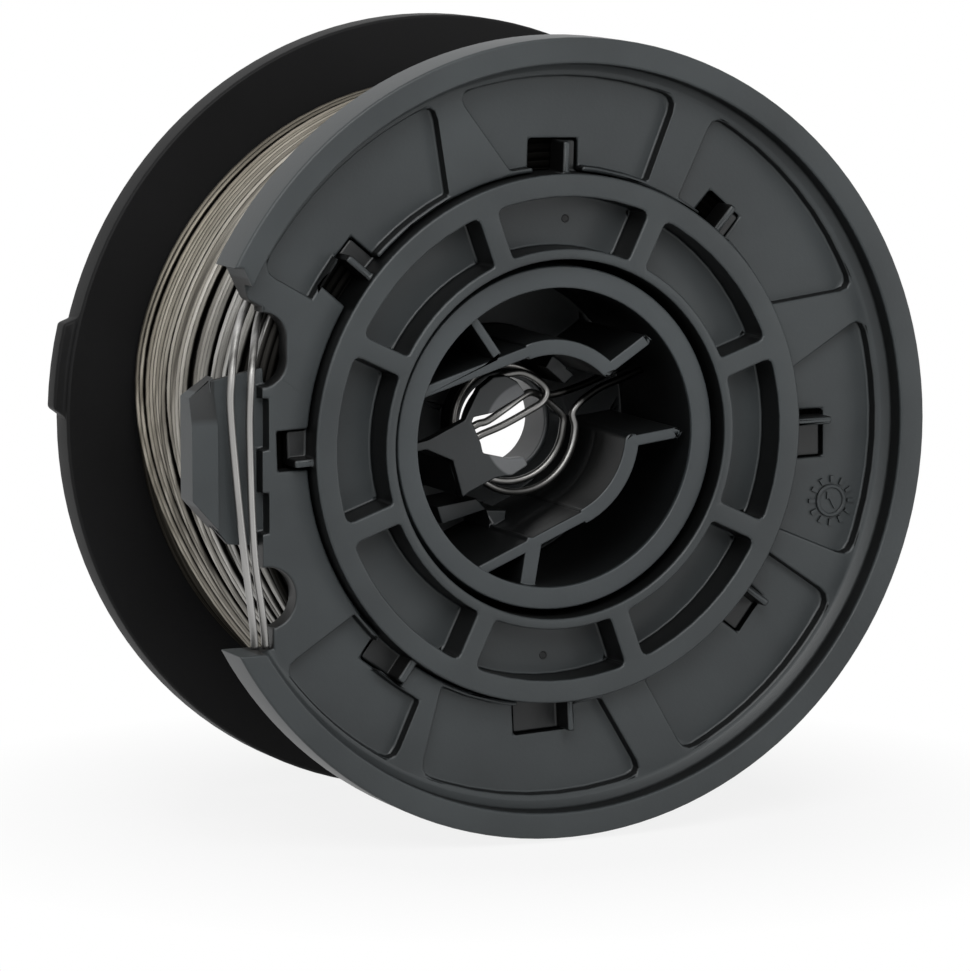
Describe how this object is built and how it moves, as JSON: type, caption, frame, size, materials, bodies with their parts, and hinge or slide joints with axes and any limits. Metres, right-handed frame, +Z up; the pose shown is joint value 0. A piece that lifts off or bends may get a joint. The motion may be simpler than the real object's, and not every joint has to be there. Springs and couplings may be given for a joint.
{
  "type": "wire reel",
  "caption": "Moulded plastic reel with a notched front flange, a pocketed drum, a hub with a centre boss, and a pair of parallel steel tie wires wound on it.",
  "frame": {"origin": "on the reel's axis at half its overall width, inside the centre boss's bore", "axes": "+Y along the reel's axis from the front flange to the rear flange, +Z up, +X to the right as seen from the front; the notch is on the -X side"},
  "size_m": [0.1076, 0.0484, 0.106],
  "materials": {
    "front_moulding": "satin charcoal, fine moulded grain",
    "drum_moulding": "satin charcoal",
    "hub_moulding": "satin charcoal",
    "rear_moulding": "satin black",
    "wound_wire": "bright drawn steel wire",
    "free_wire": "bright drawn steel wire"
  },
  "bodies": {
    "root": {"front_flange": "front_moulding", "drum": "drum_moulding", "hub_core": "hub_moulding", "rear_flange": "rear_moulding", "winding_core": "wound_wire", "winding_a": "wound_wire", "winding_b": "wound_wire", "outer_end_a": "free_wire", "outer_end_b": "free_wire", "inner_end_a": "free_wire", "inner_end_b": "free_wire"}
  },
  "joints": []
}
